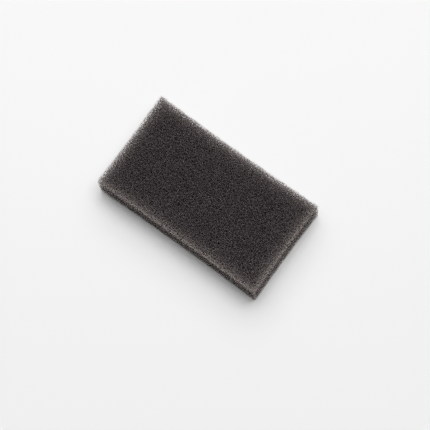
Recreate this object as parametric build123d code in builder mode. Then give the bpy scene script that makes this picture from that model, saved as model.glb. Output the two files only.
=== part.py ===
from build123d import *

import os

# A foam filter element for a small engine's air intake: one block of reticulated
# open-cell polyurethane foam, cut from sheet, which drops into a filter tray.
# Millimetres. X runs along the block, Y across it and Z up through its thickness.
# The origin is the centre of the bottom face, the clean side that lies on the tray.

length = 76.0
width = 42.5
thickness = 19.0

# The foam bulges under the knife and springs back, so each cut side ends up
# slightly hollow between its corners, and each upright corner slightly round.
side_hollow = 0.5
end_hollow = 0.3
corner_radius = 0.8

half_length = length / 2
half_width = width / 2

with BuildPart() as foam_element:
    with BuildSketch() as outline:
        with BuildLine():
            ThreePointArc(
                (-half_length, -half_width), (0, side_hollow - half_width), (half_length, -half_width)
            )
            ThreePointArc(
                (half_length, -half_width), (half_length - end_hollow, 0), (half_length, half_width)
            )
            ThreePointArc(
                (half_length, half_width), (0, half_width - side_hollow), (-half_length, half_width)
            )
            ThreePointArc(
                (-half_length, half_width), (end_hollow - half_length, 0), (-half_length, -half_width)
            )
        make_face()
        fillet(outline.vertices(), radius=corner_radius)
    extrude(amount=thickness)

foam_element.part.label = "foam_element"

os.makedirs("parts", exist_ok=True)
export_step(foam_element.part, "parts/foam_element.step")
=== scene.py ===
import itertools
import math

import bpy
import numpy as np
from mathutils import Matrix, Vector


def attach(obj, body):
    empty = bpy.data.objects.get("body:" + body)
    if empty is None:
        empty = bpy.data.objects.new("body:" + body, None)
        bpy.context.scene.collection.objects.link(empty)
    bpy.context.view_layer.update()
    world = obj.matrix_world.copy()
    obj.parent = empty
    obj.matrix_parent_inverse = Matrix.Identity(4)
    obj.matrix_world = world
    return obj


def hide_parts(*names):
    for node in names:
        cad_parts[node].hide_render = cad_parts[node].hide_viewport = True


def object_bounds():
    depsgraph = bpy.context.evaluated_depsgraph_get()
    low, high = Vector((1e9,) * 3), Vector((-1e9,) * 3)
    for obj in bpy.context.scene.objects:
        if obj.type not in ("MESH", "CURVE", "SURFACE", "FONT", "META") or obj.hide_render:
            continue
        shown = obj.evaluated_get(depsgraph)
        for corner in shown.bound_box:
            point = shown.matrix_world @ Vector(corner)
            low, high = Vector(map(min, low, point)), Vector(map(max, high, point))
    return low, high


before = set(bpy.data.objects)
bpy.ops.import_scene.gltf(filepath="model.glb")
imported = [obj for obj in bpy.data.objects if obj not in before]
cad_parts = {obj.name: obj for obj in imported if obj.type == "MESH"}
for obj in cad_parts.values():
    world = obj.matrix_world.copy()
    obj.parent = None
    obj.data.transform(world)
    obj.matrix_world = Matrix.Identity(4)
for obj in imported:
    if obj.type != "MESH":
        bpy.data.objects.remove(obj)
cad_low, cad_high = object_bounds()

# Everything is in metres, in the CAD model's own frame.

# ---- the foam: a net of thin struts round open cells, four struts meeting at every joint
CELL_PITCH = 0.00162        # two cells to a cube of this side
CELL_MARGIN = 1.3           # in pitches: how far the cells go on past the block, on every side
CELL_SCATTER = 0.35         # in pitches: how far from an even grid they start, at random
CELL_GAP = 0.88             # in pitches: cells nearer to each other than this are pushed apart
CELL_PUSH = 0.35            # of what they lack, at each push
CELL_ROUNDS = 12            # pushes
JOINT_REACH = 0.85          # in pitches: no joint is further than this from its cells' centres
JOINT_ROUNDS = 3            # times that the struts' pull moves the joints
STRUT_RADIUS = 0.00008      # from the middle of a joint to its corners, where the struts' edges meet
CUT_SHORT = 0.2             # a cut strut ends up to this share of the way short of the surface
SEED = 7
SIDE_HOLLOW = 0.0005        # how far each long side of the block curves in between its corners
END_HOLLOW = 0.0003
EDGE_HIGHLIGHT_DEPTH = 0.0015         # how far the painted highlight reaches in from the block's edges: paler, browner colour that stands in for the light the cut edges catch from the sides
EDGE_HIGHLIGHT_DROP = 0.0060          # and how far it reaches down or up the cut sides
EDGE_HIGHLIGHT_LAYER = "painted_edge_highlight"         # the mesh attribute that says how much painted highlight the foam gets
BLOCKS = 12                 # meshes side by side, so that none is too heavy to export whole
BAKE_MAP = "OFBake"         # the name of the UV map made for each foam mesh
BAKE_SLICES = 16            # the map shows each mesh as this many level slices side by side

# ---- the foam's colours
CHARCOAL_DARK = (0.035, 0.030, 0.033, 1)
CHARCOAL_LIGHT = (0.190, 0.162, 0.173, 1)
# painted highlight: the colour given to the struts near the block's edges, standing in for the light
# that they catch from the sides
EDGE_HIGHLIGHT_COLOUR = (0.56, 0.505, 0.48, 1)
GLOW = (0.86, 0.71, 0.60, 1)            # light that has passed through a strut

# ---- the view
CAMERA_AIM = (0.0062, -0.0039, 0.0095)
CAMERA_AZIMUTH = -41.0      # degrees, from +X towards +Y
CAMERA_ELEVATION = 78.7
CAMERA_ROLL = -13.0
CAMERA_DISTANCE = 0.936
CAMERA_LENS = 200.0         # millimetres, on a sensor 36 mm wide

# ---- the studio: two soft round lights overhead, far off, pale walls all round and a pale floor
KEY_LEAN = 9.7                  # degrees off the vertical
KEY_AZIMUTH = 80.0              # degrees, from +X towards +Y
KEY_RADIUS = 16.5               # degrees, as seen from the object
KEY_BRIGHTNESS = 5.8
FILL_LEAN = 21.0
FILL_AZIMUTH = 118.0
FILL_RADIUS = 33.5
FILL_BRIGHTNESS = 1.85
LIGHT_BLUR = 3.0                # degrees over which a light's rim fades
WALL_BRIGHTNESS = 0.85
WALL_TOP = 9.0                  # degrees above the floor at which the walls have faded out
FLOOR_NAME = "floor"
FLOOR_HALF = 6.0                # metres from the middle to each side
FLOOR_NEAR = 0.86               # how pale the floor is on the camera's side of the object, painted darker there to stand in for the light falling off towards the front
FLOOR_FAR = 0.93
FLOOR_FAR_AZIMUTH = 126.0       # degrees: the way in which it turns paler
FLOOR_FADE = 0.10               # metres before and behind the middle over which it does


# ------------------------------------------------------------------ cells
def grid_neighbours(points, count, size):
    """The indices of the nearest `count` others to each point, looked for in cubes of side `size`."""
    cube = np.floor((points - points.min(0)) / size).astype(np.int64) + 1
    shape = cube.max(0) + 2
    key = (cube[:, 0] * shape[1] + cube[:, 1]) * shape[2] + cube[:, 2]
    order = np.argsort(key, kind="stable")
    held = np.bincount(key, minlength=int(np.prod(shape)))
    start = np.cumsum(held) - held
    around = np.array([(x * shape[1] + y) * shape[2] + z
                       for x, y, z in itertools.product((-1, 0, 1), repeat=3)])
    depth = np.arange(held.max())
    nearest = np.empty((len(points), count), np.int32)
    for rows in np.array_split(np.arange(len(points)), len(points) // 4000 + 1):
        cubes = key[rows][:, None] + around
        real = depth < held[cubes][:, :, None]
        others = order[np.where(real, start[cubes][:, :, None] + depth, 0)].reshape(len(rows), -1)
        gap = ((points[others] - points[rows][:, None, :]) ** 2).sum(2)
        gap[~real.reshape(len(rows), -1) | (others == rows[:, None])] = np.inf
        pick = np.argpartition(gap, count, axis=1)[:, :count]
        nearest[rows] = np.take_along_axis(others, pick, 1)
    return nearest


def cell_centres(centre, half, rng):
    """Centres of bubbles that fill a box at random, none much closer to its neighbours than another."""
    reach = half + CELL_MARGIN * CELL_PITCH
    n = np.ceil(reach / CELL_PITCH).astype(int)
    grid = np.stack(np.meshgrid(*[np.arange(-k, k + 1) for k in n], indexing="ij"), -1)
    grid = grid.reshape(-1, 3) * CELL_PITCH
    points = np.concatenate([grid, grid + CELL_PITCH / 2])
    points = points + rng.normal(size=points.shape) * CELL_SCATTER * CELL_PITCH
    points = points[(np.abs(points) < reach).all(1)]
    wanted = CELL_GAP * CELL_PITCH
    for _ in range(CELL_ROUNDS):
        # A cell in even foam touches 14 others.
        near = grid_neighbours(points, 14, 1.05 * CELL_PITCH)
        away = points[:, None, :] - points[near]
        gap = np.maximum(np.linalg.norm(away, axis=2, keepdims=True), 1e-9)
        points = points + CELL_PUSH * (np.maximum(wanted - gap, 0) / gap * away).sum(1)
    return points + centre


def foam_joints(centres):
    """Where four cells meet, which is a Voronoi corner, and the four cells of each such joint."""
    # Here 22 others are looked at, because some cells touch more than 14.
    near = np.sort(grid_neighbours(centres, 22, 1.3 * CELL_PITCH), 1)
    triples = np.array(list(itertools.combinations(range(near.shape[1]), 3)))
    joints, cells = [], []
    for rows in np.array_split(np.arange(len(centres)), len(centres) // 400 + 1):
        ring = centres[near[rows]] - centres[rows][:, None, :]
        # Each joint is found once, from the first of its four cells.
        row, triple = np.nonzero((near[rows] > rows[:, None])[:, triples[:, 0]])
        p, q, r = (ring[row, triples[triple, k]] for k in range(3))
        qr, rp, pq = np.cross(q, r), np.cross(r, p), np.cross(p, q)
        volume = 2 * (p * qr).sum(1, keepdims=True)
        volume[volume == 0] = 1e-30
        square = [(v * v).sum(1, keepdims=True) for v in (p, q, r)]
        middle = (square[0] * qr + square[1] * rp + square[2] * pq) / volume
        radius = (middle ** 2).sum(1)
        close = radius < (JOINT_REACH * CELL_PITCH) ** 2
        row, triple, middle, radius = row[close], triple[close], middle[close], radius[close]
        # It is a joint if no other cell's centre is nearer to it than those four.
        gap = ((ring[row] - middle[:, None, :]) ** 2).sum(2)
        empty = (gap >= radius[:, None] * (1 - 1e-9)).all(1)
        row, triple, middle = row[empty], triple[empty], middle[empty]
        joints.append(middle + centres[rows[row]])
        cells.append(np.column_stack([rows[row], near[rows[row][:, None], triples[triple]]]))
    return np.concatenate(joints), np.concatenate(cells)


def struts_between(cells):
    """For each joint, the joint at the other end of each of its four struts and the strut's slot
    there. -1 is no strut. A strut runs between two joints that share three cells."""
    count = int(cells.max()) + 1
    others = [(1, 2, 3), (0, 2, 3), (0, 1, 3), (0, 1, 2)]
    key = np.stack([(cells[:, a] * count + cells[:, b]) * count + cells[:, c] for a, b, c in others], 1)
    order = np.argsort(key.ravel(), kind="stable")
    ordered = key.ravel()[order]
    same = ordered[1:] == ordered[:-1]
    pair = same & ~np.append(False, same[:-1]) & ~np.append(same[1:], False)
    first, second = order[:-1][pair], order[1:][pair]
    other = np.full(key.size, -1)
    other[first], other[second] = second, first
    joint = np.where(other < 0, -1, other // 4).reshape(-1, 4)
    return joint, (other % 4).reshape(-1, 4)


# ------------------------------------------------------------------ the cut block
def depths_inside(points, low, high):
    """How deep each point lies behind the nearer end, side and level face; negative is outside."""
    centre, half = (low + high) / 2, (high - low) / 2
    place = np.abs(points - centre)
    along = np.clip(place[:, 0] / half[0], 0, 1)
    across = np.clip(place[:, 1] / half[1], 0, 1)
    return np.stack([
        half[0] - END_HOLLOW * (1 - across ** 2) - place[:, 0],
        half[1] - SIDE_HOLLOW * (1 - along ** 2) - place[:, 1],
        half[2] - place[:, 2],
    ], 1)


def edge_highlight_share(points, low, high):
    """How much painted highlight each point gets: 1 on the block's edges, where two of its faces meet,
    down to 0 deep inside or mid-face.
    """
    depths = np.maximum(depths_inside(points, low, high), 0)
    depths /= np.array([EDGE_HIGHLIGHT_DEPTH, EDGE_HIGHLIGHT_DEPTH, EDGE_HIGHLIGHT_DROP])
    nearest_two = np.sort(depths, 1)[:, :2]
    return np.exp(-np.linalg.norm(nearest_two, axis=1))


def largest_net(count, links):
    """A mask of the joints in the largest connected net, so that no crumb floats beside it."""
    label = np.arange(count)
    while True:
        low = np.minimum(label[links[:, 0]], label[links[:, 1]])
        new = label.copy()
        np.minimum.at(new, links[:, 0], low)
        np.minimum.at(new, links[:, 1], low)
        new = new[new]
        if (new == label).all():
            return label == np.bincount(label).argmax()
        label = new


# The three corners of a tetrahedron's face opposite each corner, seen from outside.
OPPOSITE = np.array([(1, 2, 3), (0, 3, 2), (0, 1, 3), (0, 2, 1)])


def joint_corners(points, other):
    """A joint is a small tetrahedron: its corner k lies opposite strut k, and its face k takes it."""
    away = points[other] - points[:, None, :]
    away /= np.maximum(np.linalg.norm(away, axis=2, keepdims=True), 1e-12)
    away[other < 0] = 0
    missing = -away.sum(1, keepdims=True)
    missing /= np.maximum(np.linalg.norm(missing, axis=2, keepdims=True), 1e-12)
    away = np.where((other < 0)[:, :, None], missing, away)
    corners = points[:, None, :] - away * STRUT_RADIUS
    right_handed = np.linalg.det(corners[:, 1:] - corners[:, :1]) > 0
    return corners, np.where(right_handed[:, None, None], OPPOSITE, OPPOSITE[:, ::-1])


def take(table, rows):
    """Row n of the result holds the entries of table[n] that rows[n] numbers."""
    return np.take_along_axis(table, rows[:, :, None], 1)


def match_ends(a, i, b, j, corners, faces):
    """The corners of the faces at a strut's two ends, in an order that runs straight along it."""
    at_a = faces[a, i]
    at_b = faces[b, j][:, ::-1]
    end_a, end_b = take(corners[a], at_a), take(corners[b], at_b)
    end_a = end_a - end_a.mean(1, keepdims=True)
    end_b = end_b - end_b.mean(1, keepdims=True)
    miss = [((end_a - np.roll(end_b, -turn, 1)) ** 2).sum((1, 2)) for turn in range(3)]
    turn = np.argmin(miss, 0)
    return at_a, np.take_along_axis(at_b, (np.arange(3) + turn[:, None]) % 3, 1)


def sleeve(first, second):
    """The three quads between matched triangles of vertex numbers."""
    sides = [(first[:, k], first[:, m], second[:, m], second[:, k]) for k, m in ((0, 1), (1, 2), (2, 0))]
    return np.concatenate([np.stack(side, 1) for side in sides])


def add_mesh(name, vertices, quads, triangles):
    """A new object with a mesh of those faces, shaded smooth."""
    mesh = bpy.data.meshes.new(name)
    mesh.vertices.add(len(vertices))
    mesh.vertices.foreach_set("co", vertices.astype(np.float32).ravel())
    mesh.loops.add(quads.size + triangles.size)
    corners = np.concatenate([quads.ravel(), triangles.ravel()])
    mesh.loops.foreach_set("vertex_index", corners.astype(np.int32))
    starts = np.concatenate([np.arange(len(quads)) * 4, quads.size + np.arange(len(triangles)) * 3])
    mesh.polygons.add(len(starts))
    mesh.polygons.foreach_set("loop_start", starts.astype(np.int32))
    mesh.polygons.foreach_set("use_smooth", np.ones(len(starts), bool))
    mesh.update(calc_edges=True)
    mesh.validate()
    piece = bpy.data.objects.new(name, mesh)
    bpy.context.scene.collection.objects.link(piece)
    return piece


def lay_out(piece):
    """Makes the piece's UV map: its level slices side by side, each as seen from above."""
    mesh = piece.data
    place = np.empty(len(mesh.vertices) * 3, np.float32)
    mesh.vertices.foreach_get("co", place)
    place = place.reshape(-1, 3)
    corner = np.empty(len(mesh.loops), np.int32)
    mesh.loops.foreach_get("vertex_index", corner)
    sides = np.empty(len(mesh.polygons), np.int32)
    mesh.polygons.foreach_get("loop_total", sides)
    share = (place - place.min(0)) / np.ptp(place, axis=0)
    rim = np.array([0.02, 0.005])   # of a slice's width and length, left free on each side
    owner = np.repeat(np.arange(len(sides)), sides)
    height = np.bincount(owner, share[corner, 2]) / sides
    cut = np.minimum(np.floor(height * BAKE_SLICES), BAKE_SLICES - 1)[owner]
    across = (cut + rim[0] + (1 - 2 * rim[0]) * share[corner, 0]) / BAKE_SLICES
    along = rim[1] + (1 - 2 * rim[1]) * share[corner, 1]
    uv = mesh.uv_layers.new(name=BAKE_MAP)
    uv.data.foreach_set("uv", np.column_stack([across, along]).astype(np.float32).ravel())


def foam_net(low, high, rng):
    """The joints of foam that fills the box and a little more, and the struts between them."""
    points, cells = foam_joints(cell_centres((low + high) / 2, (high - low) / 2, rng))
    other, slot = struts_between(cells)
    # The struts' pull on each joint evens out their lengths.
    full = (other >= 0).all(1)
    for _ in range(JOINT_ROUNDS):
        pulled = points[other].mean(1)
        points = np.where(full[:, None], (points + pulled) / 2, points)
    return points, other, slot


def joints_kept(depth, other):
    """A mask of the joints that are still there once the block has been cut out."""
    inside = depth > 0
    a, i = np.nonzero((other >= 0) & inside[other] & inside[:, None])
    return inside & largest_net(len(depth), np.stack([a, other[a, i]], 1))


def foam_blocks(low, high):
    """The cut foam as closed meshes side by side along X."""
    rng = np.random.default_rng(SEED)
    points, other, slot = foam_net(low, high, rng)
    depth = depths_inside(points, low, high).min(1)
    kept = joints_kept(depth, other)
    corners, faces = joint_corners(points, other)
    block = np.floor((points[:, 0] - low[0]) / (high[0] - low[0]) * BLOCKS)
    block = np.clip(block, 0, BLOCKS - 1)

    # Strut i of joint a is strut j of joint b.
    a, i = np.nonzero(kept[:, None] & (other >= 0))
    b, j = other[a, i], slot[a, i]
    whole = kept[b] & (a < b)
    aw, bw = a[whole], b[whole]
    at_a, at_b = match_ends(aw, i[whole], bw, j[whole], corners, faces)
    same = block[aw] == block[bw]

    # A strut that the knife cut ends at the block's surface, in a small flat triangle.
    cut = ~kept[b]
    ac, bc = a[cut], b[cut]
    share = depth[ac] / np.maximum(depth[ac] - depth[bc], 1e-9)
    share = np.clip(share * rng.uniform(1 - CUT_SHORT, 1, len(ac)), 0.1, 0.95)
    at_cut = faces[ac, i[cut]]
    cut_end = take(corners[ac], at_cut) + ((points[bc] - points[ac]) * share[:, None])[:, None, :]

    # A strut between two meshes is halved, and both halves end in the same triangle.
    ah, bh, ta, tb = aw[~same], bw[~same], at_a[~same], at_b[~same]
    middle = (take(corners[ah], ta) + take(corners[bh], tb)) / 2
    stub = np.concatenate([ac, ah, bh])
    stub_at = np.concatenate([at_cut, ta, tb[:, ::-1]])
    stub_end = np.concatenate([cut_end, middle, middle[:, ::-1]])

    # A joint that lacks a strut is closed by its own face.
    bare, bare_slot = np.nonzero(kept[:, None] & (other < 0))
    bare_at = faces[bare, bare_slot]

    pieces = []
    for n in range(BLOCKS):
        mine = np.nonzero(kept & (block == n))[0]
        new = np.full(len(points), -1)
        new[mine] = np.arange(len(mine)) * 4
        held = same & (block[aw] == n)
        ended = block[stub] == n
        closed = block[bare] == n
        tip = len(mine) * 4 + np.arange(ended.sum() * 3).reshape(-1, 3)
        quads = np.concatenate([
            sleeve(new[aw[held]][:, None] + at_a[held], new[bw[held]][:, None] + at_b[held]),
            sleeve(new[stub[ended]][:, None] + stub_at[ended], tip),
        ])
        triangles = np.concatenate([tip, new[bare[closed]][:, None] + bare_at[closed]])
        vertices = np.concatenate([corners[mine].reshape(-1, 3), stub_end[ended].reshape(-1, 3)])
        vertices = np.clip(vertices, low, high)
        piece = add_mesh("foam_element_%d" % (n + 1), vertices, quads, triangles)
        # The painted highlight on the block's edges, stored on each vertex for the material.
        painted_edge_highlight = piece.data.attributes.new(EDGE_HIGHLIGHT_LAYER, "FLOAT", "POINT")
        painted_edge_highlight.data.foreach_set("value", edge_highlight_share(vertices, low, high).astype(np.float32))
        lay_out(piece)
        pieces.append(piece)
    return pieces


# ------------------------------------------------------------------ materials
def foam_material():
    """Charcoal polyurethane: dark glossy struts, thin enough to let some warm light through, with
    painted highlight near the block's edges.
    """
    m = bpy.data.materials.new("charcoal_foam")
    m.use_nodes = True
    nodes, links = m.node_tree.nodes, m.node_tree.links
    principled = nodes["Principled BSDF"]
    place = nodes.new("ShaderNodeTexCoord").outputs["Object"]

    grain = nodes.new("ShaderNodeTexNoise")
    grain.inputs["Scale"].default_value = 1100
    grain.inputs["Detail"].default_value = 3
    links.new(place, grain.inputs["Vector"])
    charcoal = nodes.new("ShaderNodeValToRGB")
    charcoal.color_ramp.elements[0].position = 0.35
    charcoal.color_ramp.elements[0].color = CHARCOAL_DARK
    charcoal.color_ramp.elements[1].position = 0.65
    charcoal.color_ramp.elements[1].color = CHARCOAL_LIGHT
    links.new(grain.outputs["Fac"], charcoal.inputs["Fac"])

    # Painted highlight: the struts turn paler and browner towards the block's edges, standing in for the
    # light that the edges catch.
    painted_edge_highlight = nodes.new("ShaderNodeAttribute")
    painted_edge_highlight.attribute_name = EDGE_HIGHLIGHT_LAYER
    paler = nodes.new("ShaderNodeMix")
    paler.data_type = "RGBA"
    paler.inputs["B"].default_value = EDGE_HIGHLIGHT_COLOUR
    links.new(painted_edge_highlight.outputs["Fac"], paler.inputs["Factor"])
    links.new(charcoal.outputs["Color"], paler.inputs["A"])
    links.new(paler.outputs["Result"], principled.inputs["Base Color"])

    # The struts' skin: fine bumps, glossier in some spots than in others.
    skin = nodes.new("ShaderNodeTexNoise")
    skin.inputs["Scale"].default_value = 9000
    skin.inputs["Detail"].default_value = 2
    links.new(place, skin.inputs["Vector"])
    shine = nodes.new("ShaderNodeMapRange")
    shine.inputs["From Min"].default_value = 0.3
    shine.inputs["From Max"].default_value = 0.7
    shine.inputs["To Min"].default_value = 0.22
    shine.inputs["To Max"].default_value = 0.34
    links.new(skin.outputs["Fac"], shine.inputs["Value"])
    links.new(shine.outputs["Result"], principled.inputs["Roughness"])
    bumps = nodes.new("ShaderNodeBump")
    bumps.inputs["Strength"].default_value = 0.4
    bumps.inputs["Distance"].default_value = 0.00002
    links.new(skin.outputs["Fac"], bumps.inputs["Height"])
    links.new(bumps.outputs["Normal"], principled.inputs["Normal"])

    through = nodes.new("ShaderNodeBsdfTranslucent")
    through.inputs["Color"].default_value = GLOW
    thin = nodes.new("ShaderNodeMixShader")
    thin.inputs["Fac"].default_value = 0.20
    links.new(principled.outputs["BSDF"], thin.inputs[1])
    links.new(through.outputs["BSDF"], thin.inputs[2])
    links.new(thin.outputs["Shader"], nodes["Material Output"].inputs["Surface"])
    return m


# ------------------------------------------------------------------ studio
def floor():
    """A plain matte floor with painted light: a little paler away from the camera, as if the light fell
    off towards the front.
    """
    mesh = bpy.data.meshes.new(FLOOR_NAME)
    corners = [(-FLOOR_HALF, -FLOOR_HALF, 0), (FLOOR_HALF, -FLOOR_HALF, 0),
               (FLOOR_HALF, FLOOR_HALF, 0), (-FLOOR_HALF, FLOOR_HALF, 0)]
    mesh.from_pydata(corners, [], [(0, 1, 2, 3)])
    ground = bpy.data.objects.new(FLOOR_NAME, mesh)
    bpy.context.scene.collection.objects.link(ground)
    m = bpy.data.materials.new("pale_floor")
    m.use_nodes = True
    nodes, links = m.node_tree.nodes, m.node_tree.links
    principled = nodes["Principled BSDF"]
    principled.inputs["Roughness"].default_value = 0.9
    principled.inputs["Specular IOR Level"].default_value = 0
    distance = nodes.new("ShaderNodeVectorMath")
    distance.operation = "DOT_PRODUCT"
    azimuth = math.radians(FLOOR_FAR_AZIMUTH)
    distance.inputs[1].default_value = (math.cos(azimuth), math.sin(azimuth), 0)
    links.new(nodes.new("ShaderNodeTexCoord").outputs["Object"], distance.inputs[0])
    # Painted light: the floor's colour darkens towards the camera, standing in for the light falling off
    # towards the front.
    painted_falloff = nodes.new("ShaderNodeMapRange")
    painted_falloff.interpolation_type = "SMOOTHSTEP"
    painted_falloff.inputs["From Min"].default_value = -FLOOR_FADE
    painted_falloff.inputs["From Max"].default_value = FLOOR_FADE
    painted_falloff.inputs["To Min"].default_value = FLOOR_NEAR
    painted_falloff.inputs["To Max"].default_value = FLOOR_FAR
    links.new(distance.outputs["Value"], painted_falloff.inputs["Value"])
    links.new(painted_falloff.outputs["Result"], principled.inputs["Base Color"])
    mesh.materials.append(m)


def studio():
    """The light all comes from the far surroundings: two round lights and the pale walls."""
    world = bpy.data.worlds.new("studio")
    bpy.context.scene.world = world
    world.use_nodes = True
    nodes, links = world.node_tree.nodes, world.node_tree.links
    direction = nodes.new("ShaderNodeTexCoord").outputs["Generated"]

    def faded(value, dark_at, bright_at, brightness, beneath):
        """Adds a light to the one beneath it: nothing at dark_at, full brightness at bright_at."""
        fade = nodes.new("ShaderNodeMapRange")
        fade.interpolation_type = "SMOOTHSTEP"
        fade.inputs["From Min"].default_value = dark_at
        fade.inputs["From Max"].default_value = bright_at
        fade.inputs["To Max"].default_value = brightness
        links.new(value, fade.inputs["Value"])
        if beneath is None:
            return fade.outputs["Result"]
        both = nodes.new("ShaderNodeMath")
        links.new(fade.outputs["Result"], both.inputs[0])
        links.new(beneath, both.inputs[1])
        return both.outputs["Value"]

    height = nodes.new("ShaderNodeSeparateXYZ")
    links.new(direction, height.inputs["Vector"])
    above_or_below = nodes.new("ShaderNodeMath")
    above_or_below.operation = "ABSOLUTE"
    links.new(height.outputs["Z"], above_or_below.inputs[0])
    total = faded(above_or_below.outputs["Value"], math.sin(math.radians(WALL_TOP)), 0,
                  WALL_BRIGHTNESS, None)
    for lean, azimuth, radius, brightness in (
        (KEY_LEAN, KEY_AZIMUTH, KEY_RADIUS, KEY_BRIGHTNESS),
        (FILL_LEAN, FILL_AZIMUTH, FILL_RADIUS, FILL_BRIGHTNESS),
    ):
        lean, azimuth = math.radians(lean), math.radians(azimuth)
        towards = nodes.new("ShaderNodeVectorMath")
        towards.operation = "DOT_PRODUCT"
        towards.inputs[1].default_value = (
            math.sin(lean) * math.cos(azimuth), math.sin(lean) * math.sin(azimuth), math.cos(lean))
        links.new(direction, towards.inputs[0])
        rim, middle = (math.cos(math.radians(radius + k * LIGHT_BLUR)) for k in (1, -1))
        total = faded(towards.outputs["Value"], rim, middle, brightness, total)
    links.new(total, nodes["Background"].inputs["Strength"])
    nodes["Background"].inputs["Color"].default_value = (1, 1, 1, 1)


def smooth_floor():
    """Denoises the floor and nothing else: the foam's net is as fine as grain, and would go too."""
    scene = bpy.context.scene
    scene.cycles.use_denoising = False
    bpy.context.view_layer.use_pass_cryptomatte_object = True
    scene.use_nodes = True
    nodes, links = scene.node_tree.nodes, scene.node_tree.links
    nodes.clear()
    rendered = nodes.new("CompositorNodeRLayers").outputs["Image"]
    denoise = nodes.new("CompositorNodeDenoise")
    denoise.use_hdr = False
    links.new(rendered, denoise.inputs["Image"])
    is_floor = nodes.new("CompositorNodeCryptomatteV2")
    is_floor.matte_id = FLOOR_NAME
    both = nodes.new("CompositorNodeMixRGB")
    links.new(is_floor.outputs["Matte"], both.inputs["Fac"])
    links.new(rendered, both.inputs[1])
    links.new(denoise.outputs["Image"], both.inputs[2])
    links.new(both.outputs["Image"], nodes.new("CompositorNodeComposite").inputs["Image"])


def camera():
    """Looks steeply down on the block from beyond one of its corners."""
    data = bpy.data.cameras.new("camera")
    data.lens = CAMERA_LENS
    data.sensor_width = 36
    data.clip_start, data.clip_end = 0.05, 10
    cam = bpy.data.objects.new("camera", data)
    bpy.context.scene.collection.objects.link(cam)
    az, el = math.radians(CAMERA_AZIMUTH), math.radians(CAMERA_ELEVATION)
    back = Vector((math.cos(az) * math.cos(el), math.sin(az) * math.cos(el), math.sin(el)))
    cam.location = Vector(CAMERA_AIM) + back * CAMERA_DISTANCE
    cam.rotation_mode = "QUATERNION"
    roll = Matrix.Rotation(math.radians(CAMERA_ROLL), 3, "Z").to_quaternion()
    cam.rotation_quaternion = (-back).to_track_quat("-Z", "Y") @ roll
    bpy.context.scene.camera = cam


bpy.context.scene.view_settings.view_transform = "Standard"
material = foam_material()
pieces = foam_blocks(np.array(cad_low), np.array(cad_high))
for piece in pieces:
    piece.data.materials.append(material)
    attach(piece, "root")
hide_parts("foam_element")
floor()
smooth_floor()
studio()
camera()
